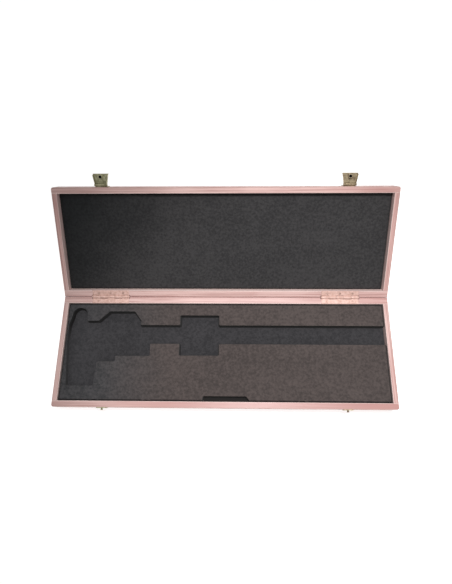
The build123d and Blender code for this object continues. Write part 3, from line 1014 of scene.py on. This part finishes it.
def hinge(side, grower, finish):
    """Both leaves of a hinge with their rolled knuckles, and its pin."""
    low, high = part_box(side + "_hinge_base_leaf")
    barrel = high.z - hinge_line.z
    roll = barrel - leaf_thick / 2
    root = hinge_line.y - barrel - leaf_root_clearance
    drop = hinge_line.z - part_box("base_back_wall")[1].z + leaf_thick / 2
    pitch = (high.x - low.x) / knuckle_count
    half_turn = Matrix.Translation(hinge_line) @ Matrix.Rotation(pi, 4, "Z")
    half_turn = half_turn @ Matrix.Translation(-hinge_line)
    for body, own in (("base", range(0, knuckle_count, 2)), ("lid", range(1, knuckle_count, 2))):
        node = f"{side}_hinge_{body}_leaf"
        turn = tray_turn[body] @ (half_turn if body == "lid" else Matrix.Identity(4))
        plate = cad_copy(node)
        bmesh.ops.transform(plate, matrix=turn.inverted(), verts=plate.verts)
        bmesh.ops.bisect_plane(
            plate, geom=plate.verts[:] + plate.edges[:] + plate.faces[:],
            plane_co=(0, root, 0), plane_no=(0, 1, 0), clear_outer=True,
        )
        bmesh.ops.holes_fill(plate, edges=[edge for edge in plate.edges if edge.is_boundary])
        soften(plate, metal_edge)
        name = f"{side}_hinge_{body}_plate"
        even_shading(piece(name, plate, finish, body, "hinge_brass", node, turn=turn))
        host = bpy.data.meshes.new(f"{side}_{body}_knuckle_places")
        mirror = -1 if body == "lid" else 1
        places = [(mirror * (low.x + (k + 0.5) * pitch), hinge_line.y, hinge_line.z) for k in own]
        host.from_pydata(places, [], [])
        strips = grower.grow(host, {
            "Roll radius": roll, "Leaf drop": drop, "Leaf reach": hinge_line.y - root + leaf_thick,
            "Start angle": pi + drop / roll, "End angle": 2 * pi + curl_end,
            "Width": pitch - knuckle_gap, "Material": finish,
        })
        name = f"{side}_hinge_{body}_knuckles"
        rolled = piece(name, strips, finish, body, "hinge_brass", node, turn=turn)
        sheet = rolled.modifiers.new("sheet", "SOLIDIFY")
        sheet.thickness = leaf_thick
        sheet.offset = 0.0
        sheet.use_even_offset = True
        edge = rolled.modifiers.new("edge", "BEVEL")
        edge.width = metal_edge
        edge.segments = 2
        edge.limit_method = "ANGLE"
        edge.angle_limit = curl_edge_angle
    pin = cad_copy(side + "_hinge_pin")
    soften(pin, 2 * metal_edge, 3)
    even_shading(piece(side + "_hinge_rod", pin, finish, "base", "hinge_brass", side + "_hinge_pin"))


brass = plated("dull brass", (0.72, 0.48, 0.42), (0.55, 0.34, 0.28), (0.80, 0.60, 0.53), 0.60, 21.0, 0.08)
grower = knuckle_grower()
for side in ("left", "right"):
    hinge(side, grower, brass)


# Latches

latch_pieces = (
    # what the piece is called here, its CAD node's last words, its body, edge rounding
    ("hasp_plate", "latch_plate", "lid", 2 * metal_edge),
    ("hasp_rod", "latch_pin", "lid", 2 * metal_edge),
    ("hasp", "latch_hasp", "hasp", metal_edge),
    ("snap_cup", "latch_socket", "hasp", metal_edge),
    ("catch_plate", "latch_keeper", "base", 2 * metal_edge),
    ("catch_stud", "latch_stud", "base", metal_edge),
)
hasp_out = opening_turn.to_3x3() @ Matrix.Rotation(-pi / 2, 3, "X") @ Vector((0, 1, 0))


def mark_cup_shade(mesh):
    """Marks the inside of a snap cup for painted shade; its mouth faces the way that the hasp's inner
    side does.
    """
    hollow = mesh.loops.layers.float.new("hollow")
    centre = sum(box_of([vertex.co for vertex in mesh.verts]), Vector()) / 2

    def from_axis(vertex):
        step = vertex.co - centre
        return (step - hasp_out * step.dot(hasp_out)).length

    for face in mesh.faces:
        within = max(from_axis(vertex) for vertex in face.verts) < cup_bore
        if within and face.normal.dot(hasp_out) > -0.5:
            for loop in face.loops:
                loop[hollow] = 1.0


for side in ("left", "right"):
    for name, node, body, edge in latch_pieces:
        mesh = cad_copy(side + "_" + node)
        # painted shade inside the snap cup
        if name == "snap_cup":
            mark_cup_shade(mesh)
        soften(mesh, edge)
        body = side + "_hasp" if body == "hasp" else body
        even_shading(piece(f"{side}_{name}", mesh, zinc[side], body, "latch_steel", side + "_" + node))


# Studio

floor_size = 4.0
floor_pale, floor_deep = (0.86, 0.86, 0.86), (0.83, 0.83, 0.83)
floor_mottle = (400, 400, 400)
floor_glow = 0.66
sky_glow = 0.42
key_place = Vector((0.10, 0.13, 1.10))
key_target = Vector((0.09, -0.02, 0.0))
key_radius = 0.10
key_half_angle = radians(18.8)
key_blend = 0.66
key_power = 47.0


def studio_floor():
    """Plain pale floor under the case."""
    mesh = bmesh.new()
    bmesh.ops.create_grid(mesh, x_segments=8, y_segments=8, size=floor_size)
    data = bpy.data.meshes.new("studio_floor")
    mesh.to_mesh(data)
    mesh.free()
    finish = Finish("pale floor")
    point = finish.place()
    tone = finish.noise(point, floor_mottle, 1.0)
    shade = finish.mix(tone, floor_pale, floor_deep)
    data.materials.append(finish.surface({
        "Base Color": shade, "Roughness": 0.8, "Emission Color": (1.0, 1.0, 1.0, 1.0),
        "Emission Strength": floor_glow,
    }))
    made = bpy.data.objects.new("studio_floor", data)
    bpy.context.scene.collection.objects.link(made)


def key_light():
    """Soft-edged beam from above, a little behind the hinges. Its edge crosses the lid's left end."""
    light = bpy.data.lights.new("key light", "SPOT")
    light.energy = key_power
    light.shadow_soft_size = key_radius
    light.spot_size = 2 * key_half_angle
    light.spot_blend = key_blend
    made = bpy.data.objects.new("key light", light)
    made.location = key_place
    made.rotation_euler = (key_target - key_place).to_track_quat("-Z", "Y").to_euler()
    bpy.context.scene.collection.objects.link(made)


def camera():
    """The fitted camera, placed with no pan or roll and then turned by them."""
    lens = bpy.data.cameras.new("camera")
    lens.sensor_width = sensor_mm
    lens.lens = sensor_mm * focal_pixels / image_height
    lens.clip_start = view_nearest
    ahead = Vector((0, cos(view_tilt), -sin(view_tilt)))
    above = Vector((0, sin(view_tilt), cos(view_tilt)))
    beside = Vector((1, 0, 0))
    place = hinge_line - ahead * view_distance + beside * view_right + above * view_up
    ahead, beside = (
        ahead * cos(view_pan) + beside * sin(view_pan), beside * cos(view_pan) - ahead * sin(view_pan),
    )
    image_right = beside * cos(view_roll) + above * sin(view_roll)
    image_up = above * cos(view_roll) - beside * sin(view_roll)
    made = bpy.data.objects.new("camera", lens)
    axes = Matrix((image_right, image_up, -ahead)).transposed().to_4x4()
    made.matrix_world = Matrix.Translation(place) @ axes
    bpy.context.scene.collection.objects.link(made)
    bpy.context.scene.camera = made


studio_floor()
key_light()
world = bpy.data.worlds.new("studio")
world.use_nodes = True
world.node_tree.nodes["Background"].inputs["Color"].default_value = (1.0, 1.0, 1.0, 1.0)
world.node_tree.nodes["Background"].inputs["Strength"].default_value = sky_glow
bpy.context.scene.world = world
bpy.context.scene.view_settings.view_transform = "Standard"
camera()
